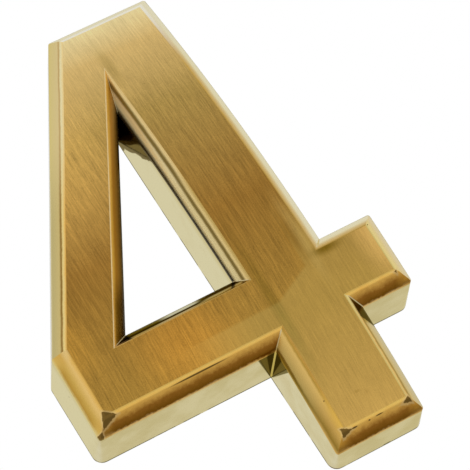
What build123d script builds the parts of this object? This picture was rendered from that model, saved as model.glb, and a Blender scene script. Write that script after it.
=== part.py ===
# Self-adhesive numeral four for a door: one plated moulding with an arched front,
# held by a die-cut foam tape pad that sits in the moulding's flat back.
# Millimetres. X runs to the numeral's right, Z is up and the front faces -Y.
# The origin is on the back of the pad, where the stem crosses the crossbar.
import os
from math import hypot

from build123d import *

# Outline of the numeral, measured from its lower left
numeral_height = 50.0
numeral_width = 32.6
stem_width = 9.15
stub_length = 5.35
bar_bottom = 10.75
bar_height = 7.55
slant_foot = 19.35
top_left = 16.7
counter_apex = 39.3
counter_foot = 6.9

# Front, arched along the numeral's height and thickest a little below the middle
thickest = 7.7
arch_centre = 23.0
arch_drop = 3.1

# Bevel round the front, its soft crest and the eased outer corners
bevel_width = 1.05
crest_radius = 0.35
corner_radius = 0.5

# Tape pad and its shallow seat in the back
pad_thickness = 1.0
pad_inset = 1.1
pad_gap = 0.15
seat_depth = 0.6

stem_right = numeral_width - stub_length
stem_left = stem_right - stem_width
bar_top = bar_bottom + bar_height
pad_stand_off = pad_thickness - seat_depth
arch_reach = numeral_height - arch_centre
arch_radius = (arch_reach**2 + arch_drop**2) / (2 * arch_drop)
origin_x = (stem_left + stem_right) / 2
origin_z = (bar_bottom + bar_top) / 2


def outline_points():
    """Corners of the outer contour, anticlockwise seen from the front."""
    return [
        (0, bar_bottom),
        (stem_left, bar_bottom),
        (stem_left, 0),
        (stem_right, 0),
        (stem_right, bar_bottom),
        (numeral_width, bar_bottom),
        (numeral_width, bar_top),
        (stem_right, bar_top),
        (stem_right, numeral_height),
        (top_left, numeral_height),
        (0, slant_foot),
    ]


def counter_points():
    """Corners of the triangular counter, clockwise seen from the front."""
    return [
        (counter_foot, bar_top),
        (stem_left, counter_apex),
        (stem_left, bar_top),
    ]


def moved_in(points, amount):
    """Corner points after every edge has moved to its left by the amount."""
    moved = []
    for k, (x, z) in enumerate(points):
        last_x, last_z = points[k - 1]
        next_x, next_z = points[(k + 1) % len(points)]
        in_length = hypot(x - last_x, z - last_z)
        out_length = hypot(next_x - x, next_z - z)
        in_x, in_z = (x - last_x) / in_length, (z - last_z) / in_length
        out_x, out_z = (next_x - x) / out_length, (next_z - z) / out_length
        turn = in_x * out_z - in_z * out_x
        slide = amount * (in_x * out_x + in_z * out_z - 1) / turn
        moved.append((x - in_z * amount + in_x * slide, z + in_x * amount + in_z * slide))
    return moved


def slab(inset, back, front):
    """The numeral's shape, inset all round, between two distances from the wall."""
    plane = Plane(origin=(-origin_x, -back, -origin_z), x_dir=(1, 0, 0), z_dir=(0, -1, 0))
    outer = make_face(Polyline(*moved_in(outline_points(), inset), close=True))
    counter = make_face(Polyline(*moved_in(counter_points(), inset), close=True))
    return extrude(plane * (outer - counter), front - back)


def arched_face(body):
    """The front of the moulding, the one large face that is part of a cylinder."""
    return body.faces().filter_by(GeomType.CYLINDER).sort_by(SortBy.AREA)[-1]


def sticks_out(edge):
    """True for an upright edge at a corner that points out of the numeral."""
    x = edge.center().X + origin_x
    z = edge.center().Z + origin_z
    inner_corners = [
        (stem_left, bar_bottom),
        (stem_right, bar_bottom),
        (stem_right, bar_top),
        *counter_points(),
    ]
    return all(hypot(x - a, z - b) > 0.01 for a, b in inner_corners)


def make_body():
    """One moulding: arched front with a bevel all round, and a seat in the back."""
    blank = slab(0, pad_stand_off, pad_stand_off + thickest + 1)
    arch = Rot(0, 90, 0) * Cylinder(arch_radius, 2 * numeral_width)
    arch_depth = arch_radius - pad_stand_off - thickest
    body = blank & Pos(0, arch_depth, arch_centre - origin_z) * arch

    # The bevel follows the arch, with mitres at every corner
    body = chamfer(arched_face(body).edges(), bevel_width)
    uprights = body.edges().filter_by(Axis.Y)
    body = fillet([edge for edge in uprights if sticks_out(edge)], corner_radius)
    body = fillet(arched_face(body).edges(), crest_radius)

    seat_wall = pad_inset - pad_gap
    return body - slab(seat_wall, pad_stand_off - 1, pad_stand_off + seat_depth)


def make_pad():
    """Die-cut foam tape, flush in its seat all round but for a small gap."""
    return slab(pad_inset, 0, pad_thickness)


os.makedirs("parts", exist_ok=True)
export_step(make_body(), "parts/numeral_body.step")
export_step(make_pad(), "parts/adhesive_pad.step")
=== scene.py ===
from math import cos, radians, sin, tan

import bmesh
import bpy
from mathutils import Matrix, Vector
from mathutils.geometry import delaunay_2d_cdt


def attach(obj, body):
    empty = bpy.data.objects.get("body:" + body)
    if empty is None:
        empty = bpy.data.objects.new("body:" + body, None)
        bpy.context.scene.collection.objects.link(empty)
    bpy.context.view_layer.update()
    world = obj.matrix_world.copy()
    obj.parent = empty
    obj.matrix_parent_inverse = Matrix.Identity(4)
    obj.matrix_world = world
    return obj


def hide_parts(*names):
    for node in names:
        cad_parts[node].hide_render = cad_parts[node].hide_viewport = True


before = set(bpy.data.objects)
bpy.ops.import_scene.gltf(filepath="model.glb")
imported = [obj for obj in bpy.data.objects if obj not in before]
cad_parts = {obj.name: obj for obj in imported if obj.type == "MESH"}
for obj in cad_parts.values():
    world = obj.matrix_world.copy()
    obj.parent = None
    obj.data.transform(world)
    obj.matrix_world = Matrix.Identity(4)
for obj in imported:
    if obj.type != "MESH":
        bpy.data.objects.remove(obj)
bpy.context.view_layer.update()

mm = 0.001

# The numeral in millimetres from its lower left, as the moulding is drawn
numeral = {
    "width": 32.6, "height": 50.0, "stem": 9.15, "stub": 5.35,
    "barBottom": 10.75, "barTop": 18.3, "slantFoot": 19.35, "topLeft": 16.7,
    "counterApex": 39.3, "counterFoot": 6.9,
    "thickest": 7.7, "archCentre": 23.0, "archDrop": 3.1,
    "back": 0.4,  # the tape stands this far out behind the moulding
}
stemRight = numeral["width"] - numeral["stub"]
stemLeft = stemRight - numeral["stem"]
originX = (stemLeft + stemRight) / 2
originZ = (numeral["barBottom"] + numeral["barTop"]) / 2
archReach = numeral["height"] - numeral["archCentre"]
archRadius = (archReach**2 + numeral["archDrop"]**2) / (2 * numeral["archDrop"])


def toFrame(x, y, z):
    # From the drawing to the shared frame, in metres
    return Vector(((x - originX) * mm, y * mm, (z - originZ) * mm))


# Camera, as the photograph was taken: from below and to the left, rolled to one side
photoView = {
    "lens": 215.06, "sensor": 36, "near": 0.01, "far": 20,
    "turn": -18.83, "lookUp": 22.29, "roll": -33.57,  # in degrees
    "aim": (23.0, 25.27), "distance": 263.15,  # a point of the drawing, and how far it is
}


def makeCamera():
    view = photoView
    data = bpy.data.cameras.new("photoView")
    data.lens = view["lens"]
    data.sensor_width = view["sensor"]
    data.clip_start = view["near"]
    data.clip_end = view["far"]
    camera = bpy.data.objects.new("photoView", data)
    bpy.context.scene.collection.objects.link(camera)
    aimX, aimZ = view["aim"]
    turns = ((view["turn"], "Z"), (90 + view["lookUp"], "X"), (view["roll"], "Z"))
    place = Matrix.Translation(toFrame(aimX, 0, aimZ))
    for angle, axis in turns:
        place = place @ Matrix.Rotation(radians(angle), 4, axis)
    camera.matrix_world = place @ Matrix.Translation((0, 0, view["distance"] * mm))
    bpy.context.scene.camera = camera


# Contours: corner points with the finish of the bevel on the edge that leaves each one
outerCorners = [
    (0, numeral["barBottom"], "gold"), (stemLeft, numeral["barBottom"], "olive"),
    (stemLeft, 0, "gold"), (stemRight, 0, "tan"), (stemRight, numeral["barBottom"], "gold"),
    (numeral["width"], numeral["barBottom"], "tan"), (numeral["width"], numeral["barTop"], "pale"),
    (stemRight, numeral["barTop"], "pale"), (stemRight, numeral["height"], "pale"),
    (numeral["topLeft"], numeral["height"], "champagne"), (0, numeral["slantFoot"], "rubbedAndSheen"),
]
counterCorners = [
    (numeral["counterFoot"], numeral["barTop"], "shaded"),
    (stemLeft, numeral["counterApex"], "lined"), (stemLeft, numeral["barTop"], "dark"),
]

# The moulding: rings from the seat in the back, up the wall, over the bevel to the front
shellForm = {
    "cornerRadius": 0.95, "crestCorner": 0.25, "leastCorner": 0.03,
    "rightFlare": 0.6,  # how far the walls on the right lean out, from the bevel to the back
    "flareStart": 1.2,  # how far left of the stem's right side the first of them begins
    "seatInset": 0.95, "seatDepth": 0.6, "baseRadius": 0.12, "softEdge": 0.06,
    "bevelDepth": 1.27, "bevelSlope": 49.5, "crestRadius": 0.55, "crestSteps": 8,
    "counterCrest": 0.12,  # the crest is crisper round the counter
    "baseMiddle": 0.3,  # where the middle of the eased base edge lies, as a share of its radius
    "trimOnWall": 0.35,  # how far the bevel's finish runs down the wall
    "foldBelow": 0.02, "foldAbove": (0.012, 0.015),  # the fold from wall to bevel
    "foldShare": 0.9,  # how much of the finish on the wall is passed where the fold begins
    "arcSteps": 6, "facetSteps": 4, "step": 0.9, "frontStep": 0.9,
    "gridStart": 0.2, "gridShift": 0.31, "gridClear": 0.55,  # the points that fill the front
}
farAway = 30.0  # stands for the distance to a corner where an edge has none of that kind


def cornerFrames(corners):
    # For each corner: the point, unit directions in and out, and the turn between them
    frames = []
    for k, (x, z, _) in enumerate(corners):
        before, after = corners[k - 1], corners[(k + 1) % len(corners)]
        inRun = Vector((x - before[0], z - before[1])).normalized()
        outRun = Vector((after[0] - x, after[1] - z)).normalized()
        frames.append((Vector((x, z)), inRun, outRun, inRun.x * outRun.y - inRun.y * outRun.x))
    return frames


def cornerPoint(cornerFrame, inset):
    point, inRun, outRun, turn = cornerFrame
    slide = inset * (inRun.dot(outRun) - 1) / turn
    return point + Vector((-inRun.y, inRun.x)) * inset + inRun * slide


def ring(corners, inset, radius):
    # Points of one offset contour: arcs at the corners that stick out, even steps between.
    # Each comes with the edge that leaves it, and whether it is a corner that goes in.
    frames = cornerFrames(corners)
    arcSteps = shellForm["arcSteps"]
    arcs = []
    for cornerFrame in frames:
        _, inRun, outRun, turn = cornerFrame
        if turn > 0:
            left = max(radius - inset, shellForm["leastCorner"])
            centre = cornerPoint(cornerFrame, inset + left)
            start = Vector((inRun.y, -inRun.x))
            angle = inRun.angle_signed(outRun) * -1
            arcs.append([
                centre + (Matrix.Rotation(angle * s / arcSteps, 2) @ start) * left
                for s in range(arcSteps + 1)
            ])
        else:
            arcs.append([cornerPoint(cornerFrame, inset)])
    points = []
    for k, arc in enumerate(arcs):
        half = len(arc) // 2
        points.extend((p, k if s >= half else k - 1, len(arc) == 1) for s, p in enumerate(arc))
        following = frames[(k + 1) % len(frames)][0]
        count = max(2, round((following - frames[k][0]).length / shellForm["step"]))
        start, end = arc[-1], arcs[(k + 1) % len(arcs)][0]
        points.extend((start.lerp(end, s / count), k, False) for s in range(1, count))
    return points


def shellProfile(radius):
    # Each entry: inset, height over the back or under the front, whether from the front,
    # corner radius, surface, and how far across the trim it is, from 0 on the wall to 1
    form = shellForm
    base, crest = form["cornerRadius"], form["crestCorner"]
    ease, soft, seat = form["baseRadius"], form["softEdge"], form["seatInset"]
    deep, slope, onWall = form["bevelDepth"], radians(form["bevelSlope"]), form["trimOnWall"]
    edge = deep / tan(slope)
    tangent = radius * tan(slope / 2)
    facet = (edge / cos(slope)) - tangent
    length = onWall + facet + radius * slope
    wallShare, facetShare, crestShare = (run / length for run in (onWall, facet, radius * slope))
    foldIn, foldUp = form["foldAbove"]
    middle = ease * form["baseMiddle"]
    foldBegins = wallShare * form["foldShare"]
    profile = [
        (seat, form["seatDepth"], False, base, "seat", 0),
        (seat, soft, False, base, "seat", 0),
        (seat - soft, 0.0, False, base, "rim", 0),
        (ease, 0.0, False, base, "rim", 0),
        (middle, middle, False, base, "rim", 0),
        (0.0, ease, False, base, "rim", 0),
        (0.0, ease + soft, False, base, "wall", 0),
        (0.0, -deep - onWall, True, crest, "wall", 0),
        (0.0, -deep - form["foldBelow"], True, crest, "bevel", foldBegins),
        (foldIn, -deep + foldUp, True, crest, "bevel", wallShare),
    ]
    for s in range(1, form["facetSteps"] + 1):
        along = facet * s / form["facetSteps"]
        share = wallShare + facetShare * s / form["facetSteps"]
        profile.append((along * cos(slope), along * sin(slope) - deep, True, crest, "bevel", share))
    for s in range(1, form["crestSteps"] + 1):
        left = slope * (1 - s / form["crestSteps"])
        inset = edge + tangent - radius * sin(left)
        share = wallShare + facetShare + crestShare * s / form["crestSteps"]
        profile.append((inset, radius * (cos(left) - 1), True, crest, "bevel", share))
    return profile


surfaceNames = [
    "front", "wall", "bare",
    "gold", "rubbedAndSheen", "olive", "pale", "tan", "champagne", "shaded", "lined", "dark",
]


def nearestCorner(corners, k, p):
    # How far p on edge k is from a corner that sticks out, in millimetres
    frames = cornerFrames(corners)
    gaps = [(p - f[0]).length for f in (frames[k], frames[(k + 1) % len(frames)]) if f[3] > 0]
    return min(gaps) if gaps else farAway


def nearestMitre(corners, k, p, inset):
    # How far p on edge k is from the mitre of a corner that goes in, in millimetres
    frames = cornerFrames(corners)
    pair = (frames[k], frames[(k + 1) % len(frames)])
    gaps = [(p - cornerPoint(f, inset)).length for f in pair if f[3] < 0]
    return min(gaps) if gaps else farAway


def inside(p, loop):
    hit = False
    for k, a in enumerate(loop):
        b = loop[k - 1]
        if (a.y > p.y) != (b.y > p.y) and p.x < (b.x - a.x) * (p.y - a.y) / (b.y - a.y) + a.x:
            hit = not hit
    return hit


def clearOf(p, loop, gap):
    for k, a in enumerate(loop):
        run = loop[k - 1] - a
        t = min(1, max(0, (p - a).dot(run) / max(run.length_squared, 1e-9)))
        if (a + run * t - p).length < gap:
            return False
    return True


def gridPoints(outer, inner, step):
    # Points between two contours, in rows that are shifted by turns
    form = shellForm
    points = []
    for i in range(int(numeral["height"] / step) + 1):
        for j in range(int(numeral["width"] / step) + 1):
            p = Vector((j * step + form["gridShift"] * (i % 2), i * step + form["gridStart"]))
            gap = form["gridClear"] * step
            if inside(p, outer) and not inside(p, inner):
                if clearOf(p, outer, gap) and clearOf(p, inner, gap):
                    points.append(p)
    return points


def fillFlat(bm, layers, contours, height, name, rises, step=0):
    # Closes the front or the seat between its outer and counter contours
    rise, surface = layers
    outer, inner = contours
    points = [Vector((v.co.x / mm + originX, v.co.z / mm + originZ)) for v in outer + inner]
    first, known = len(outer), len(points)
    edges = [(k, (k + 1) % first) for k in range(first)]
    edges += [(first + k, first + (k + 1) % len(inner)) for k in range(len(inner))]
    outerLoop, innerLoop = points[:first], points[first:]
    if step:
        points += gridPoints(outerLoop, innerLoop, step)
    flat, _, faces, _, _, _ = delaunay_2d_cdt(points, edges, [], 1, 1e-5)
    verts = list(outer) + list(inner)
    for p in flat[known:]:
        vert = bm.verts.new(toFrame(p.x, -numeral["back"] - height, p.y))
        vert[rise] = rises
        verts.append(vert)
    for corners in faces:
        middle = sum((flat[c] for c in corners), Vector((0, 0))) / len(corners)
        if inside(middle, outerLoop) and not inside(middle, innerLoop):
            loop = [verts[c] for c in corners]
            face = bm.faces.new(loop if rises else reversed(loop))
            face[surface] = surfaceNames.index(name)
            face.smooth = True


def archTree(finishes):
    # Bows the front: a point drops with its height along the numeral, as far as its rise says
    tree = bpy.data.node_groups.new("archedFront", "GeometryNodeTree")
    link = tree.links.new
    tree.interface.new_socket("Geometry", in_out="INPUT", socket_type="NodeSocketGeometry")
    for name in ("Arch Radius", "Arch Centre"):
        tree.interface.new_socket(name, in_out="INPUT", socket_type="NodeSocketFloat")
    tree.interface.new_socket("Geometry", in_out="OUTPUT", socket_type="NodeSocketGeometry")
    given = tree.nodes.new("NodeGroupInput")
    result = tree.nodes.new("NodeGroupOutput")
    place = tree.nodes.new("GeometryNodeInputPosition")
    parts = tree.nodes.new("ShaderNodeSeparateXYZ")
    link(place.outputs[0], parts.inputs[0])
    rise = tree.nodes.new("GeometryNodeInputNamedAttribute")
    rise.inputs["Name"].default_value = "rise"
    radius = given.outputs["Arch Radius"]
    run = calc(tree, "SUBTRACT", parts.outputs["Z"], given.outputs["Arch Centre"])
    squares = [calc(tree, "MULTIPLY", side, side) for side in (radius, run)]
    drop = calc(tree, "SUBTRACT", radius, calc(tree, "SQRT", calc(tree, "SUBTRACT", *squares)))
    shift = tree.nodes.new("ShaderNodeCombineXYZ")
    link(calc(tree, "MULTIPLY", drop, rise.outputs["Attribute"]), shift.inputs["Y"])
    bow = tree.nodes.new("GeometryNodeSetPosition")
    link(given.outputs["Geometry"], bow.inputs["Geometry"])
    link(shift.outputs[0], bow.inputs["Offset"])
    solid = tree.nodes.new("GeometryNodeRealizeInstances")
    link(bow.outputs[0], solid.inputs[0])
    last = solid.outputs[0]
    kind = tree.nodes.new("GeometryNodeInputNamedAttribute")
    kind.data_type = "INT"
    kind.inputs["Name"].default_value = "surface"
    for k, name in enumerate(surfaceNames):
        same = tree.nodes.new("FunctionNodeCompare")
        same.data_type = "INT"
        same.operation = "EQUAL"
        link(kind.outputs["Attribute"], same.inputs[2])
        same.inputs[3].default_value = k
        paint = tree.nodes.new("GeometryNodeSetMaterial")
        paint.inputs["Material"].default_value = finishes[name]
        link(last, paint.inputs["Geometry"])
        link(same.outputs[0], paint.inputs["Selection"])
        last = paint.outputs[0]
    link(last, result.inputs[0])
    return tree


def shellRings(bm, rise, corners, profile):
    # One ring of vertices for each entry of the profile
    rings = []
    for inset, height, fromFront, radius, name, _ in profile:
        y = -numeral["back"] - (numeral["thickest"] * fromFront + height)
        low = name == "rim" or (name == "wall" and not fromFront)
        verts = []
        for p, edge, goesIn in ring(corners, inset, radius):
            right = p.x > stemRight - shellForm["flareStart"]
            flare = shellForm["rightFlare"] if low and right else 0.0
            vert = bm.verts.new(toFrame(p.x + flare, y, p.y))
            vert[rise] = float(fromFront)
            verts.append((vert, p, edge, goesIn))
        rings.append(verts)
    return rings


def makeShell(finishes):
    bm = bmesh.new()
    rise = bm.verts.layers.float.new("rise")
    surface = bm.faces.layers.int.new("surface")
    trim = bm.loops.layers.uv.new("trimMap")  # distance from an outer corner, and how far across
    crease = bm.loops.layers.uv.new("creaseMap")  # distance from an inner corner's mitre
    backs, fronts = [], []
    for corners, crest in ((outerCorners, "crestRadius"), (counterCorners, "counterCrest")):
        profile = shellProfile(shellForm[crest])
        rings = shellRings(bm, rise, corners, profile)
        for low, high, before, entry in zip(rings, rings[1:], profile, profile[1:]):
            for k in range(len(low)):
                following = (k + 1) % len(low)
                edge = low[k][2]
                quad = (low[k], low[following], high[following], high[k])
                face = bm.faces.new([vert for vert, _, _, _ in quad])
                named = {"bevel": corners[edge][2], "seat": "bare", "rim": "bare"}
                face[surface] = surfaceNames.index(named.get(entry[4], entry[4]))
                face.smooth = True
                sides = (before, before, entry, entry)
                for loop, (_, p, _, _), (inset, *_, across) in zip(face.loops, quad, sides):
                    loop[trim].uv = (nearestCorner(corners, edge, p), across)
                    loop[crease].uv = (nearestMitre(corners, edge, p, inset), across)
                if low[k][3]:
                    bm.edges.get((low[k][0], high[k][0])).smooth = False
        backs.append([vert for vert, _, _, _ in rings[0]])
        fronts.append([vert for vert, _, _, _ in rings[-1]])
    layers = (rise, surface)
    fillFlat(bm, layers, fronts, numeral["thickest"], "front", 1.0, shellForm["frontStep"])
    fillFlat(bm, layers, backs, shellForm["seatDepth"], "bare", 0.0)
    bmesh.ops.recalc_face_normals(bm, faces=bm.faces)
    mesh = bpy.data.meshes.new("flatNumeral")
    bm.to_mesh(mesh)
    bm.free()
    flat = bpy.data.objects.new("flatNumeral", mesh)
    bpy.context.scene.collection.objects.link(flat)

    tree = archTree(finishes)
    modifier = flat.modifiers.new("archedFront", "NODES")
    modifier.node_group = tree
    sizes = {
        "Arch Radius": archRadius * mm,
        "Arch Centre": (numeral["archCentre"] - originZ) * mm,
    }
    for item in tree.interface.items_tree:
        if item.name in sizes:
            modifier[item.identifier] = sizes[item.name]
    seen = flat.evaluated_get(bpy.context.evaluated_depsgraph_get())
    arched = bpy.data.meshes.new_from_object(seen)
    arched.name = "numeralShell"
    flat.modifiers.remove(modifier)
    bpy.data.objects.remove(flat)
    shell = bpy.data.objects.new("numeralShell", arched)
    bpy.context.scene.collection.objects.link(shell)
    return shell


# Finishes
def newFinish(name):
    finish = bpy.data.materials.new(name)
    finish.use_nodes = True
    return finish, finish.node_tree, finish.node_tree.nodes["Principled BSDF"]


def addNode(tree, kind, **values):
    node = tree.nodes.new(kind)
    for key, value in values.items():
        if hasattr(node, key):
            setattr(node, key, value)
        else:
            node.inputs[key.replace("_", " ")].default_value = value
    return node


def feed(tree, sockets, values):
    # Links what comes from a node, and sets what is a number, a vector or a colour
    for socket, value in zip(sockets, values):
        if isinstance(value, bpy.types.NodeSocket):
            tree.links.new(value, socket)
        elif isinstance(value, tuple) and socket.type == "RGBA":
            socket.default_value = (*value, 1)
        else:
            socket.default_value = value


def calc(tree, operation, *values):
    node = addNode(tree, "ShaderNodeMath", operation=operation)
    feed(tree, node.inputs, values)
    return node.outputs[0]


def vectorCalc(tree, operation, *values):
    node = addNode(tree, "ShaderNodeVectorMath", operation=operation)
    feed(tree, node.inputs, values)
    return node.outputs[0]


def lengthOf(tree, vector):
    node = addNode(tree, "ShaderNodeVectorMath", operation="LENGTH")
    tree.links.new(vector, node.inputs[0])
    return node.outputs["Value"]


def distanceAlong(tree, vector, direction):
    node = addNode(tree, "ShaderNodeVectorMath", operation="DOT_PRODUCT")
    feed(tree, node.inputs, (vector, direction))
    return node.outputs["Value"]


def blend(tree, amount, first, second):
    node = addNode(tree, "ShaderNodeMix", data_type="RGBA")
    feed(tree, (node.inputs[0], node.inputs[6], node.inputs[7]), (amount, first, second))
    return node.outputs[2]


def fade(tree, value, start, end):
    # 0 at start, 1 at end, smooth between
    node = addNode(tree, "ShaderNodeMapRange", interpolation_type="SMOOTHSTEP")
    tree.links.new(value, node.inputs["Value"])
    node.inputs["From Min"].default_value = start
    node.inputs["From Max"].default_value = end
    return node.outputs[0]


def drawingPlace(tree):
    # Object coordinates as millimetres on the drawing, and their three parts
    place = addNode(tree, "ShaderNodeTexCoord").outputs["Object"]
    place = vectorCalc(tree, "MULTIPLY_ADD", place, (1 / mm, 1 / mm, 1 / mm), (originX, 0, originZ))
    parts = addNode(tree, "ShaderNodeSeparateXYZ")
    tree.links.new(place, parts.inputs[0])
    return place, [parts.outputs[k] for k in "XYZ"]


def spot(tree, place, centre, radius, edge=1.0):
    # A soft round mask about a point of the drawing, 1 at its centre
    gap = vectorCalc(tree, "SUBTRACT", place, (centre[0], 0, centre[1]))
    gap = vectorCalc(tree, "MULTIPLY", gap, (1 / radius[0], 0, 1 / radius[1]))
    return fade(tree, lengthOf(tree, gap), 1.0, 1.0 - edge)


def grainNoise(tree, place, scale, detail=2.0, turn=0.0):
    # Noise with so many features per millimetre along the drawing's axes, or the same along
    # all three, leaning right by turn degrees
    scales = scale if isinstance(scale, tuple) else (scale, scale, scale)
    turned = addNode(tree, "ShaderNodeMapping", vector_type="TEXTURE")
    turned.inputs["Rotation"].default_value = (0, radians(turn), 0)
    turned.inputs["Scale"].default_value = tuple(1 / part for part in scales)
    tree.links.new(place, turned.inputs["Vector"])
    noise = addNode(tree, "ShaderNodeTexNoise", Scale=1.0, Detail=detail, Roughness=0.55)
    tree.links.new(turned.outputs[0], noise.inputs["Vector"])
    return noise.outputs["Fac"]


def stray(tree, noise, reach):
    # Noise as a distance to either side of nothing
    return calc(tree, "MULTIPLY_ADD", noise, reach, -reach / 2)


def toneColour(tree, tone, stops):
    node = addNode(tree, "ShaderNodeValToRGB")
    ramp = node.color_ramp
    while len(ramp.elements) < len(stops):
        ramp.elements.new(0.5)
    for element, (position, colour) in zip(ramp.elements, stops):
        element.position = position
        element.color = (*colour, 1)
    tree.links.new(tone, node.inputs["Fac"])
    return node.outputs["Color"]


wornForm = {
    # bare brown places, where the plating is rubbed through: their corners on the drawing
    "corners": [
        ((1.12, 12.52), (2.28, 11.72), (0.6, 11.15)),
        ((-0.02, 11.12), (0.44, 11.1), (0.49, 10.5), (0.03, 10.47)),
        ((19.07, 1.44), (20.13, 0.98), (19.05, 0.7)),
        ((26.14, 1.32), (26.28, 0.76), (25.4, 0.92)),
        ((31.15, 11.85), (31.45, 11.92), (31.35, 11.68)),
    ],
    # thin lines and dots of the same: centre and radii, and how soft they are
    "lines": [
        ((10.6, 11.72), (3.6, 0.08)), ((20.35, 1.0), (0.4, 0.08)), ((21.9, 0.98), (0.14, 0.07)),
        ((22.95, 1.02), (0.5, 0.06)), ((19.12, 4.3), (0.08, 0.08)), ((31.47, 16.96), (0.08, 0.08)),
    ],
    "lineSoft": 0.5,
    "bare": (0.2, 0.115, 0.025), "edge": (-0.04, 0.04),
    "rim": (0.80, 0.58, 0.26), "rimEdge": (-0.2, -0.06), "rimShare": 0.5,
    "grain": 3.0, "ragged": 0.2,
}


def wedge(tree, place, points, ragged):
    # How far inside a place with straight sides on the drawing, in millimetres
    middle = sum((Vector(p) for p in points), Vector((0, 0))) / len(points)
    least = None
    for k, p in enumerate(points):
        a, b = Vector(p), Vector(points[(k + 1) % len(points)])
        across = Vector((a.y - b.y, b.x - a.x)).normalized()
        if (middle - a).dot(across) < 0:
            across = -across
        side = distanceAlong(tree, place, (across.x, 0, across.y))
        gap = calc(tree, "SUBTRACT", side, across.dot(a))
        least = gap if least is None else calc(tree, "MINIMUM", least, gap)
    return calc(tree, "ADD", least, ragged)


def patina(tree, place, colour):
    form = wornForm
    ragged = stray(tree, grainNoise(tree, place, form["grain"]), form["ragged"])
    deepest = None
    for points in form["corners"]:
        depth = wedge(tree, place, points, ragged)
        deepest = depth if deepest is None else calc(tree, "MAXIMUM", deepest, depth)
    rim = calc(tree, "MULTIPLY", fade(tree, deepest, *form["rimEdge"]), form["rimShare"])
    colour = blend(tree, rim, colour, form["rim"])
    worn = fade(tree, deepest, *form["edge"])
    for centre, radius in form["lines"]:
        worn = calc(tree, "MAXIMUM", worn, spot(tree, place, centre, radius, form["lineSoft"]))
    return blend(tree, worn, colour, form["bare"])


frontForm = {
    # the bronze along the numeral's height, from the foot (0) to the top edge (1): antique tone
    # with painted light, darkest in the middle and lightest at the top
    "height": [(0.0, (0.75, 0.43, 0.1)), (0.25, (0.58, 0.33, 0.06)), (0.5, (0.43, 0.22, 0.04)),
               (0.75, (0.52, 0.34, 0.09)), (0.9, (0.8, 0.55, 0.2)), (1.0, (1.0, 0.85, 0.45))],
    # centre and radii on the drawing, and what they add: lighter and darker places, partly wear
    # and partly painted light
    "rubbedAndSheen": [
        ((8.0, 36.0), (12.0, 14.0), (0.28, 0.16, 0.04)),  # the slant's outer side
        ((0.5, 19.0), (4.5, 5.0), (0.2, 0.1, 0.01)),  # the left corner
        ((11.0, 14.0), (7.0, 8.0), (0.2, 0.06, 0.0)),  # the middle of the bar
        ((32.5, 16.0), (4.0, 8.0), (0.5, 0.3, 0.12)),  # the end of the stub
    ],
    # streaks, lighter and darker: partly wear and partly painted light
    "streaks": [
        ((25.4, 19.0), (0.9, 7.0), (0.12, 0.1, 0.04)),
        ((24.8, 19.0), (0.9, 4.0), (-0.15, -0.12, -0.04)),
        ((26.8, 16.8), (2.3, 0.9), (-0.3, -0.2, -0.07)),
        ((19.7, 44.0), (0.9, 4.0), (-0.15, -0.1, -0.05)),
        ((19.9, 13.5), (0.9, 12.5), (-0.14, -0.07, -0.02)),
        ((22.2, 3.7), (0.45, 0.22), (-0.13, -0.09, -0.03)),
        ((23.0, 3.3), (0.28, 0.4), (-0.1, -0.07, -0.02)),
    ],
    # the part below the crossing, lighter as a painted reflection and with weaker brushing: the
    # line along its top, how that line and its left end fade, and a strip beside it that reaches up
    # the stem
    "smoothLine": [(9.0, 14.05), (20.3, 14.15), (24.65, 16.3)], "smoothEdge": (-0.2, 0.25),
    "smoothStart": (9.0, 15.0), "stripSide": (24.1, 24.5), "stripTop": (24.0, 17.5),
    "smoothSheen": (0.07, 0.08, 0.03), "smoothGrain": -0.5,  # what it adds to tone and brushing
    # brushed lines: how strong, features per millimetre across and along, and how they lean
    "lines": [(0.75, (7.5, 0.3, 0.26), 1.2), (0.7, (9.0, 0.3, 0.7), 1.6),
              (0.13, (2.6, 0.3, 0.10), 1.5), (0.8, (11.0, 11.0, 11.0), 0.0)],
    "lineDetail": 3.0, "faintHeights": (37.0, 45.0), "faintGrain": -0.45,  # fainter near the top
    "cloud": 0.16, "cloudScale": (0.4, 0.4, 0.3), "brightest": 0.97,
    "roughness": 0.32, "anisotropic": 0.5, "bump": 0.2, "bumpHeight": 0.00001,
}


def smoothPart(tree, x, z):
    form = frontForm
    line = form["smoothLine"]
    under = None
    for (x0, z0), (x1, z1) in zip(line, line[1:]):
        run = Vector((x1 - x0, z1 - z0)).normalized()
        gap = calc(tree, "MULTIPLY_ADD", x, run.y, -run.y * x0 + run.x * z0)
        gap = calc(tree, "MULTIPLY_ADD", z, -run.x, gap)
        under = gap if under is None else calc(tree, "MAXIMUM", under, gap)
    strip = calc(tree, "MULTIPLY", fade(tree, z, *form["stripTop"]),
                 fade(tree, x, *form["stripSide"]))
    edge = calc(tree, "MAXIMUM", fade(tree, under, *form["smoothEdge"]), strip)
    return calc(tree, "MULTIPLY", edge, fade(tree, x, *form["smoothStart"]))


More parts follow.
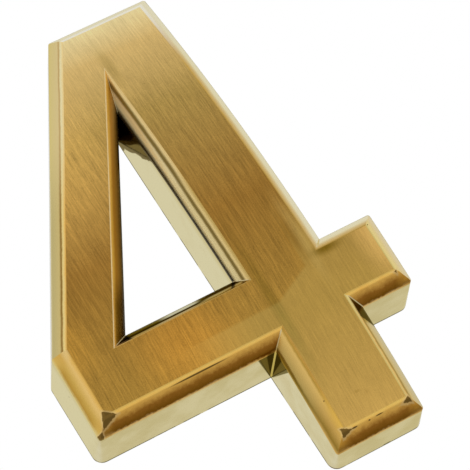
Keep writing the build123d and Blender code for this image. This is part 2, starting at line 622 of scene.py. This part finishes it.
def makeFront():
    form = frontForm
    finish, tree, shader = newFinish("brushedBronze")
    link = tree.links.new
    place, (x, _, z) = drawingPlace(tree)
    smooth = smoothPart(tree, x, z)

    grain = None
    for strength, scale, turn in form["lines"]:
        noise = grainNoise(tree, place, scale, form["lineDetail"], turn)
        line = calc(tree, "MULTIPLY", calc(tree, "SUBTRACT", noise, 0.5), strength)
        grain = line if grain is None else calc(tree, "ADD", grain, line)
    faint = fade(tree, z, *form["faintHeights"])
    strong = calc(tree, "MULTIPLY_ADD", faint, form["faintGrain"], 1.0)
    strong = calc(tree, "MULTIPLY_ADD", smooth, form["smoothGrain"], strong)
    grain = calc(tree, "MULTIPLY", grain, strong)

    # antique tone with painted light along the height
    height = calc(tree, "MULTIPLY", z, 1 / numeral["height"])
    colour = toneColour(tree, height, form["height"])
    # the smooth part's lighter tone is a painted reflection
    colour = vectorCalc(tree, "MULTIPLY_ADD", smooth, form["smoothSheen"], colour)
    # lighter and darker places, partly wear and partly painted light
    for centre, radius, tone in form["rubbedAndSheen"] + form["streaks"]:
        colour = vectorCalc(tree, "MULTIPLY_ADD", spot(tree, place, centre, radius), tone, colour)
    cloud = calc(tree, "SUBTRACT", grainNoise(tree, place, form["cloudScale"]), 0.5)
    scaled = addNode(tree, "ShaderNodeVectorMath", operation="SCALE")
    link(colour, scaled.inputs[0])
    strength = calc(tree, "MULTIPLY_ADD", cloud, form["cloud"], calc(tree, "ADD", grain, 1.0))
    link(strength, scaled.inputs["Scale"])
    colour = vectorCalc(tree, "MINIMUM", scaled.outputs[0], (form["brightest"],) * 3)
    link(patina(tree, place, colour), shader.inputs["Base Color"])

    bump = addNode(tree, "ShaderNodeBump", Strength=form["bump"], Distance=form["bumpHeight"])
    link(grain, bump.inputs["Height"])
    link(bump.outputs["Normal"], shader.inputs["Normal"])
    around = addNode(tree, "ShaderNodeTangent", direction_type="RADIAL", axis="Z")
    link(around.outputs[0], shader.inputs["Tangent"])
    shader.inputs["Metallic"].default_value = 1.0
    shader.inputs["Roughness"].default_value = form["roughness"]
    shader.inputs["Anisotropic"].default_value = form["anisotropic"]
    return finish


edgeTint = (0.9, 0.84, 0.6, 1)  # the plating stays golden where it is seen at a low angle

# Bevel finishes: stops from the wall (0) to the front (1), and others that they change to,
# by distance from an outer corner, by height or by width on the drawing. Their tones are
# painted reflections: painted highlights along the crest and dark reflected bands.
trims = {
    "gold": {
        "stops": [(0.05, (0.75, 0.48, 0.18)), (0.2, (0.22, 0.09, 0.005)),
                  (0.5, (0.38, 0.16, 0.02)), (0.78, (0.9, 0.5, 0.1)), (1.0, (0.9, 0.6, 0.15))],
        "others": [(0.0, (0.6, 0.35, 0.1)), (0.25, (0.4, 0.2, 0.03)), (0.5, (0.75, 0.38, 0.05)),
                   (1.0, (0.85, 0.5, 0.1))],
        "by": ("corner", 1.9, 0.4), "ragged": 0.2, "metallic": 1.0,
    },
    "rubbedAndSheen": {
        "stops": [(0.0, (0.9, 0.8, 0.4)), (0.25, (0.55, 0.32, 0.05)), (0.5, (0.7, 0.45, 0.1)),
                  (0.8, (0.9, 0.6, 0.2)), (1.0, (0.85, 0.5, 0.1))],
        "others": [(0.0, (0.9, 0.8, 0.4)), (0.25, (0.75, 0.5, 0.12)), (0.6, (0.75, 0.45, 0.1)),
                   (1.0, (0.9, 0.75, 0.4))],
        "by": ("corner", 2.0, 0.4), "ragged": 0.08, "metallic": 1.0,
    },
    "olive": {
        "stops": [(0.0, (0.5, 0.3, 0.05)), (0.2, (0.25, 0.17, 0.03)), (0.3, (0.5, 0.35, 0.1)),
                  (0.8, (0.8, 0.53, 0.16)), (0.9, (0.5, 0.3, 0.05)), (1.0, (0.8, 0.45, 0.1))],
        "others": [(0.0, (0.8, 0.5, 0.15)), (0.25, (0.33, 0.2, 0.03)), (0.6, (0.65, 0.4, 0.1)),
                   (1.0, (0.9, 0.55, 0.1))],
        "by": ("height", 6.5, 2.0), "ragged": 0.05, "metallic": 1.0,
    },
    # its others, near white along the top edge, are a painted highlight
    "pale": {
        "stops": [(0.0, (0.95, 0.92, 0.8)), (0.6, (0.94, 0.87, 0.65)), (0.85, (0.75, 0.55, 0.25)),
                  (1.0, (0.65, 0.4, 0.08))],
        "others": [(0.0, (0.96, 0.94, 0.86)), (1.0, (0.96, 0.92, 0.78))],
        "by": ("height", 40.0, 49.0), "ragged": 0.06, "metallic": 1.0,
    },
    "tan": {
        "stops": [(0.0, (0.7, 0.65, 0.5)), (0.7, (0.76, 0.58, 0.26)), (0.83, (0.4, 0.25, 0.05)),
                  (0.92, (0.9, 0.6, 0.2)), (1.0, (0.9, 0.73, 0.25))],
        "others": [(0.0, (0.83, 0.77, 0.6)), (0.5, (0.9, 0.74, 0.48)), (1.0, (0.9, 0.72, 0.25))],
        "by": ("height", 9.0, 12.0), "ragged": 0.06, "metallic": 1.0,
        "shade": {"reach": 2.35, "top": 0.86, "above": 0.0},
    },
    "champagne": {
        "stops": [(0.0, (0.95, 0.85, 0.55)), (0.25, (0.6, 0.5, 0.22)), (0.65, (0.7, 0.55, 0.22)),
                  (0.78, (0.27, 0.13, 0.01)), (0.87, (0.95, 0.75, 0.3)), (1.0, (0.9, 0.5, 0.1))],
        "others": [(0.0, (0.77, 0.64, 0.25)), (0.7, (0.8, 0.64, 0.32)), (0.79, (0.6, 0.4, 0.15)),
                   (0.88, (0.95, 0.84, 0.48)), (1.0, (0.95, 0.7, 0.3))],
        "by": ("height", 30.0, 40.0), "ragged": 0.05, "metallic": 1.0,
    },
    "shaded": {
        "stops": [(0.0, (0.02, 0.01, 0.002)), (0.25, (0.03, 0.01, 0.002)),
                  (0.65, (0.16, 0.07, 0.002)), (0.8, (0.32, 0.15, 0.01)), (0.9, (0.8, 0.4, 0.05)),
                  (1.0, (0.95, 0.75, 0.4))],
        "others": [(0.0, (0.02, 0.01, 0.004)), (0.22, (0.04, 0.02, 0.003)),
                   (0.5, (0.36, 0.17, 0.02)), (0.7, (0.5, 0.22, 0.02)), (0.9, (0.95, 0.53, 0.08)),
                   (1.0, (0.95, 0.75, 0.4))],
        "by": ("height", 20.5, 24.0), "ragged": 0.04, "metallic": 0.12,
    },
    "lined": {
        "stops": [(0.18, (0.03, 0.016, 0.003)), (0.28, (0.9, 0.77, 0.4)),
                  (0.52, (0.9, 0.73, 0.35)), (0.61, (0.25, 0.17, 0.04)), (0.7, (0.25, 0.17, 0.04)),
                  (0.8, (0.95, 0.72, 0.3)), (1.0, (0.6, 0.4, 0.1))],
        "others": [(0.2, (0.08, 0.05, 0.015)), (0.37, (0.97, 0.83, 0.44)),
                   (0.56, (0.97, 0.8, 0.42)), (0.66, (0.25, 0.17, 0.04)),
                   (0.76, (0.25, 0.17, 0.04)), (0.88, (0.97, 0.74, 0.33)),
                   (1.0, (0.85, 0.6, 0.23))],
        "by": ("height", 27.0, 31.0), "ragged": 0.03, "metallic": 0.4,
    },
    "dark": {
        "stops": [(0.4, (0.22, 0.17, 0.07)), (0.6, (0.03, 0.015, 0.003)),
                  (0.72, (0.03, 0.015, 0.003)), (0.85, (0.85, 0.67, 0.38)),
                  (1.0, (0.65, 0.4, 0.1))],
        "others": [(0.53, (0.05, 0.025, 0.006)), (0.7, (0.95, 0.8, 0.55)),
                   (0.9, (0.55, 0.35, 0.1))],
        "by": ("width", 13.6, 15.6), "ragged": 0.02, "metallic": 1.0,
        "edgeTint": (0.5, 0.46, 0.33, 1),
        # a pale patch on part of the bevel: a painted reflection
        "patch": {"tone": (0.95, 0.92, 0.7), "enter": (9.8, 11.4), "leave": (14.6, 13.6),
                  "top": 0.54},
    },
}
trimGloss = {"specular": 0.25, "roughness": 0.16, "waver": 0.7, "strokes": 3.0}
# Where two bevels meet in an inner corner there is a pale line, a painted highlight, and some
# painted shade beside it
creaseForm = {
    "line": (0.82, 0.70, 0.42), "lineWidth": 0.07, "lineSoft": 0.4, "lineEnd": (0.92, 0.82),
    "shade": (0.07, 0.05, 0.008), "shadeStrokes": 4.0, "shadeEnd": 0.25, "shadeFoot": 0.4,
    "shadeTop": 0.08, "patchTop": 0.06,
}


def makeTrim(name, form):
    finish, tree, shader = newFinish(name + "Bevel")
    link = tree.links.new
    gloss, fold = trimGloss, creaseForm
    trim = addNode(tree, "ShaderNodeSeparateXYZ")
    link(addNode(tree, "ShaderNodeUVMap", uv_map="trimMap").outputs["UV"], trim.inputs[0])
    crease = addNode(tree, "ShaderNodeSeparateXYZ")
    link(addNode(tree, "ShaderNodeUVMap", uv_map="creaseMap").outputs["UV"], crease.inputs[0])
    place, (x, _, z) = drawingPlace(tree)
    kind, start, end = form["by"]
    run = {"corner": trim.outputs["X"], "height": z, "width": x}[kind]
    change = fade(tree, run, start, end)
    waver = stray(tree, grainNoise(tree, place, gloss["waver"]), form["ragged"])
    strokes = stray(tree, grainNoise(tree, place, gloss["strokes"]), form["ragged"])
    across = calc(tree, "ADD", trim.outputs["Y"], calc(tree, "ADD", waver, strokes))
    # the stops paint the bevel's highlight and the bands it reflects
    first = toneColour(tree, across, form["stops"])
    second = toneColour(tree, across, form["others"])
    colour = blend(tree, change, first, second)
    if "shade" in form:
        # the crease's shade reaches along the bevel to a sharp end, below the crest, above a height
        shade = form["shade"]
        gap = calc(tree, "MULTIPLY_ADD", strokes, fold["shadeStrokes"], crease.outputs["X"])
        near = fade(tree, gap, shade["reach"], shade["reach"] - fold["shadeEnd"])
        soft = fold["shadeTop"]
        under = fade(tree, across, shade["top"] + soft, shade["top"] - soft)
        foot = fade(tree, z, shade["above"] - fold["shadeFoot"], shade["above"])
        amount = calc(tree, "MULTIPLY", near, calc(tree, "MULTIPLY", under, foot))
        colour = blend(tree, amount, colour, fold["shade"])
    # a pale patch over part of the bevel: a painted reflection
    if "patch" in form:
        patch, soft = form["patch"], fold["patchTop"]
        within = calc(tree, "MULTIPLY", fade(tree, run, *patch["enter"]),
                      fade(tree, run, *patch["leave"]))
        under = fade(tree, across, patch["top"] + soft, patch["top"] - soft)
        colour = blend(tree, calc(tree, "MULTIPLY", within, under), colour, patch["tone"])
    # the pale line along the mitre is a painted highlight
    width, soft = fold["lineWidth"], fold["lineSoft"]
    line = fade(tree, crease.outputs["X"], width * (1 + soft), width * (1 - soft))
    line = calc(tree, "MULTIPLY", line, fade(tree, trim.outputs["Y"], *fold["lineEnd"]))
    colour = blend(tree, line, colour, fold["line"])
    link(patina(tree, place, colour), shader.inputs["Base Color"])
    shader.inputs["Metallic"].default_value = form["metallic"]
    shader.inputs["Specular IOR Level"].default_value = gloss["specular"]
    shader.inputs["Roughness"].default_value = gloss["roughness"]
    shader.inputs["Specular Tint"].default_value = form.get("edgeTint", edgeTint)
    return finish


wallForm = {
    # plating from deep to bright, on walls facing down, and lighter as painted light on side walls
    "deep": (0.66, 0.57, 0.31), "bright": (0.78, 0.70, 0.44),
    "sideLitDeep": (0.75, 0.67, 0.44), "sideLitBright": (0.85, 0.80, 0.58), "sideways": (0.2, 0.8),
    "drift": 0.35, "driftSpan": (0.3, 0.75), "driftLift": 0.3, "driftHeights": (10.0, 14.0),
    "underBevel": (0.86, 0.80, 0.62),  # what is left of it just under the bevel
    "underDepths": (-5.2, -6.6),
    # the closed end of the counter is dark above a ragged line, lower towards the front
    "shade": (0.1, 0.055, 0.01), "shadeSlope": 0.985, "shadeHeight": 38.86,
    "shadeEdge": (-0.1, 0.15), "shadeGrain": 0.8, "shadeRagged": 1.6,
    "shadeLeft": (13.4, 13.8), "shadeRight": (18.4, 18.2), "shadeTop": (40.5, 40.0),
    # the inner corner under the bar has painted shade that narrows towards the back,
    # and a pale line that is a painted highlight
    "cornerShade": (0.11, 0.075, 0.007), "cornerSlope": (2.92, 2.31), "cornerEdge": (0.35, 0.6),
    "cornerBack": (-0.9, -1.15), "cornerLine": (0.80, 0.72, 0.40), "cornerLineEdge": (0.42, 0.28),
    # a painted shadow: the dark broken line along the base of the wall
    "edge": (0.10, 0.09, 0.05), "edgeWidth": 0.3, "edgeSoft": 0.04,
    "edgeGrain": 0.6, "edgeBroken": (0.3, 0.44),
    # nicks and specks of the same painted shadow: centre and radii on the drawing,
    # from and to which depth
    "shadowNicks": [((23.8, 0.0), (0.5, 0.5), (None, -0.85)), ((26.9, 0.0), (0.4, 0.5), (None, -0.75)),
              ((0.0, 16.17), (0.5, 0.07), (-4.88, -5.02))],
    "shadowNickSoft": 0.5, "detail": 3.0, "roughness": 0.1,
}


def makeWall():
    form = wallForm
    finish, tree, shader = newFinish("paleBrass")
    link = tree.links.new
    place, (x, y, z) = drawingPlace(tree)
    facing = addNode(tree, "ShaderNodeSeparateXYZ")
    link(addNode(tree, "ShaderNodeTexCoord").outputs["Normal"], facing.inputs[0])
    sideways = fade(tree, calc(tree, "ABSOLUTE", facing.outputs["X"]), *form["sideways"])
    drift = grainNoise(tree, place, form["drift"], form["detail"])
    lift = fade(tree, z, *form["driftHeights"])
    drift = calc(tree, "MULTIPLY_ADD", lift, form["driftLift"], drift)
    drift = fade(tree, drift, *form["driftSpan"])
    # walls that face the side get a lighter copy: painted light
    colour = blend(tree, sideways, blend(tree, drift, form["deep"], form["bright"]),
                   blend(tree, drift, form["sideLitDeep"], form["sideLitBright"]))
    top = blend(tree, fade(tree, y, *form["underDepths"]), (1.0, 1.0, 1.0), form["underBevel"])
    colour = vectorCalc(tree, "MULTIPLY", colour, top)

    ragged = grainNoise(tree, place, form["shadeGrain"], form["detail"])
    ragged = stray(tree, ragged, form["shadeRagged"])
    line = calc(tree, "MULTIPLY_ADD", y, form["shadeSlope"], form["shadeHeight"])
    above = calc(tree, "ADD", calc(tree, "SUBTRACT", z, line), ragged)
    dark = fade(tree, above, *form["shadeEdge"])
    for run, ends in ((x, "shadeLeft"), (x, "shadeRight"), (z, "shadeTop")):
        dark = calc(tree, "MULTIPLY", dark, fade(tree, run, *form[ends]))
    colour = blend(tree, dark, colour, form["shade"])

    corner = vectorCalc(tree, "SUBTRACT", place, (stemLeft, 0, numeral["barBottom"]))
    slopeX, slopeZ = form["cornerSlope"]
    gap = lengthOf(tree, vectorCalc(tree, "MULTIPLY", corner, (slopeX, 0, slopeZ)))
    depth = calc(tree, "SUBTRACT", calc(tree, "MULTIPLY", y, -1.0), gap)
    shaded = calc(tree, "MULTIPLY", fade(tree, depth, *form["cornerEdge"]),
                  fade(tree, y, *form["cornerBack"]))
    colour = blend(tree, shaded, colour, form["cornerShade"])
    # the pale line in the corner is a painted highlight
    colour = blend(tree, fade(tree, gap, *form["cornerLineEdge"]), colour, form["cornerLine"])

    # the painted shadow along the base of the wall, broken in places, and its nicks
    soft = form["edgeSoft"]
    broken = fade(tree, grainNoise(tree, place, form["edgeGrain"]), *form["edgeBroken"])
    end = -numeral["back"] - form["edgeWidth"]
    baseShadow = calc(tree, "MULTIPLY", fade(tree, y, end - soft, end), broken)
    for centre, radius, (near, far) in form["shadowNicks"]:
        shadowNick = fade(tree, y, far - soft, far)
        if near is not None:
            shadowNick = calc(tree, "MULTIPLY", shadowNick, fade(tree, y, near + soft, near))
        shadowNick = calc(tree, "MULTIPLY", shadowNick, spot(tree, place, centre, radius, form["shadowNickSoft"]))
        baseShadow = calc(tree, "MAXIMUM", baseShadow, shadowNick)
    colour = blend(tree, baseShadow, colour, form["edge"])
    link(colour, shader.inputs["Base Color"])
    shader.inputs["Metallic"].default_value = 1.0
    shader.inputs["Roughness"].default_value = form["roughness"]
    shader.inputs["Specular Tint"].default_value = edgeTint
    return finish


# Behind: the bare inside of the moulding, and the foam tape
bareBack = {
    "deep": (0.10, 0.075, 0.04), "bright": (0.16, 0.12, 0.065), "pits": (0.06, 0.045, 0.025),
    "fine": 4.0, "broad": 0.3, "bump": 0.35, "roughness": 0.4, "metallic": 0.6,
}
foamTape = {
    "deep": (0.74, 0.74, 0.71), "bright": (0.84, 0.84, 0.82), "pits": (0.55, 0.55, 0.53),
    "fine": 5.0, "broad": 0.25, "bump": 0.5, "roughness": 0.6, "metallic": 0.0,
}
plainForm = {
    "detail": 3.0, "broadSpan": (0.35, 0.65), "pitSpan": (0.5, 0.36), "bumpHeight": 0.00005,
    "roughSpread": 0.2,
}


def makePlain(name, form):
    finish, tree, shader = newFinish(name)
    link = tree.links.new
    place, _ = drawingPlace(tree)
    fine = grainNoise(tree, place, form["fine"], plainForm["detail"])
    broad = fade(tree, grainNoise(tree, place, form["broad"]), *plainForm["broadSpan"])
    colour = blend(tree, broad, form["deep"], form["bright"])
    colour = blend(tree, fade(tree, fine, *plainForm["pitSpan"]), colour, form["pits"])
    link(colour, shader.inputs["Base Color"])
    height = plainForm["bumpHeight"]
    bump = addNode(tree, "ShaderNodeBump", Strength=form["bump"], Distance=height)
    link(fine, bump.inputs["Height"])
    link(bump.outputs["Normal"], shader.inputs["Normal"])
    rough = calc(tree, "MULTIPLY_ADD", fine, plainForm["roughSpread"], form["roughness"])
    link(rough, shader.inputs["Roughness"])
    shader.inputs["Metallic"].default_value = form["metallic"]
    return finish


# Studio: a white surround, with the softer and darker parts of the room as gloss sees them
studio = {
    "patches": [  # direction, brightness, inner and outer angle in degrees
        ((0.30, -0.05, -0.95), 0.70, 8, 42),
        ((0.30, -0.93, 0.22), 0.78, 6, 32),
    ],
    "white": 1.0, "soft": 0.75,
}


def makeStudio():
    world = bpy.data.worlds.new("studio")
    bpy.context.scene.world = world
    world.use_nodes = True
    tree = world.node_tree
    tree.nodes.clear()
    link = tree.links.new
    out = addNode(tree, "ShaderNodeOutputWorld")
    place = addNode(tree, "ShaderNodeTexCoord").outputs["Generated"]
    value = addNode(tree, "ShaderNodeValue").outputs[0]
    value.default_value = studio["white"]
    for direction, brightness, innerAngle, outerAngle in studio["patches"]:
        facing = distanceAlong(tree, place, tuple(Vector(direction).normalized()))
        mask = fade(tree, facing, cos(radians(outerAngle)), cos(radians(innerAngle)))
        mixer = addNode(tree, "ShaderNodeMix", data_type="FLOAT")
        feed(tree, (mixer.inputs[0], mixer.inputs[2], mixer.inputs[3]), (mask, value, brightness))
        value = mixer.outputs[0]
    gloss = addNode(tree, "ShaderNodeBackground")
    link(value, gloss.inputs["Strength"])
    soft = addNode(tree, "ShaderNodeBackground", Color=(1, 1, 1, 1), Strength=studio["soft"])
    white = addNode(tree, "ShaderNodeBackground", Color=(1, 1, 1, 1), Strength=studio["white"])
    ray = addNode(tree, "ShaderNodeLightPath")
    first = addNode(tree, "ShaderNodeMixShader")
    feed(tree, first.inputs, (ray.outputs["Is Glossy Ray"], soft.outputs[0], gloss.outputs[0]))
    seen = (ray.outputs["Is Camera Ray"], ray.outputs["Is Transmission Ray"])
    straight = calc(tree, "MAXIMUM", *seen)
    second = addNode(tree, "ShaderNodeMixShader")
    feed(tree, second.inputs, (straight, first.outputs[0], white.outputs[0]))
    link(second.outputs[0], out.inputs["Surface"])


paleFloor = {"reach": 3, "height": -0.2, "colour": (0.9, 0.9, 0.9, 1), "roughness": 0.8}


def makeFloor():
    reach, height = paleFloor["reach"], paleFloor["height"]
    mesh = bpy.data.meshes.new("paleFloor")
    corners = [(x * reach, y * reach, height) for x, y in ((-1, -1), (1, -1), (1, 1), (-1, 1))]
    mesh.from_pydata(corners, [], [(0, 1, 2, 3)])
    floor = bpy.data.objects.new("paleFloor", mesh)
    bpy.context.scene.collection.objects.link(floor)
    finish, tree, shader = newFinish("paleFloor")
    shader.inputs["Base Color"].default_value = paleFloor["colour"]
    shader.inputs["Roughness"].default_value = paleFloor["roughness"]
    mesh.materials.append(finish)
    floor.visible_glossy = False


def main():
    bpy.context.scene.view_settings.view_transform = "Standard"
    makeCamera()
    makeStudio()
    makeFloor()
    print("stage: camera, studio and floor")

    finishes = {name: makeTrim(name, form) for name, form in trims.items()}
    finishes["front"] = makeFront()
    finishes["wall"] = makeWall()
    finishes["bare"] = makePlain("bareBack", bareBack)
    shell = makeShell(finishes)
    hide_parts("numeral_body")
    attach(shell, "root")
    print("numeral shell: faces", len(shell.data.polygons))

    foam = makePlain("foamTape", foamTape)
    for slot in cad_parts["adhesive_pad"].material_slots:
        slot.material = foam
    print("tape pad: foam finish")


main()
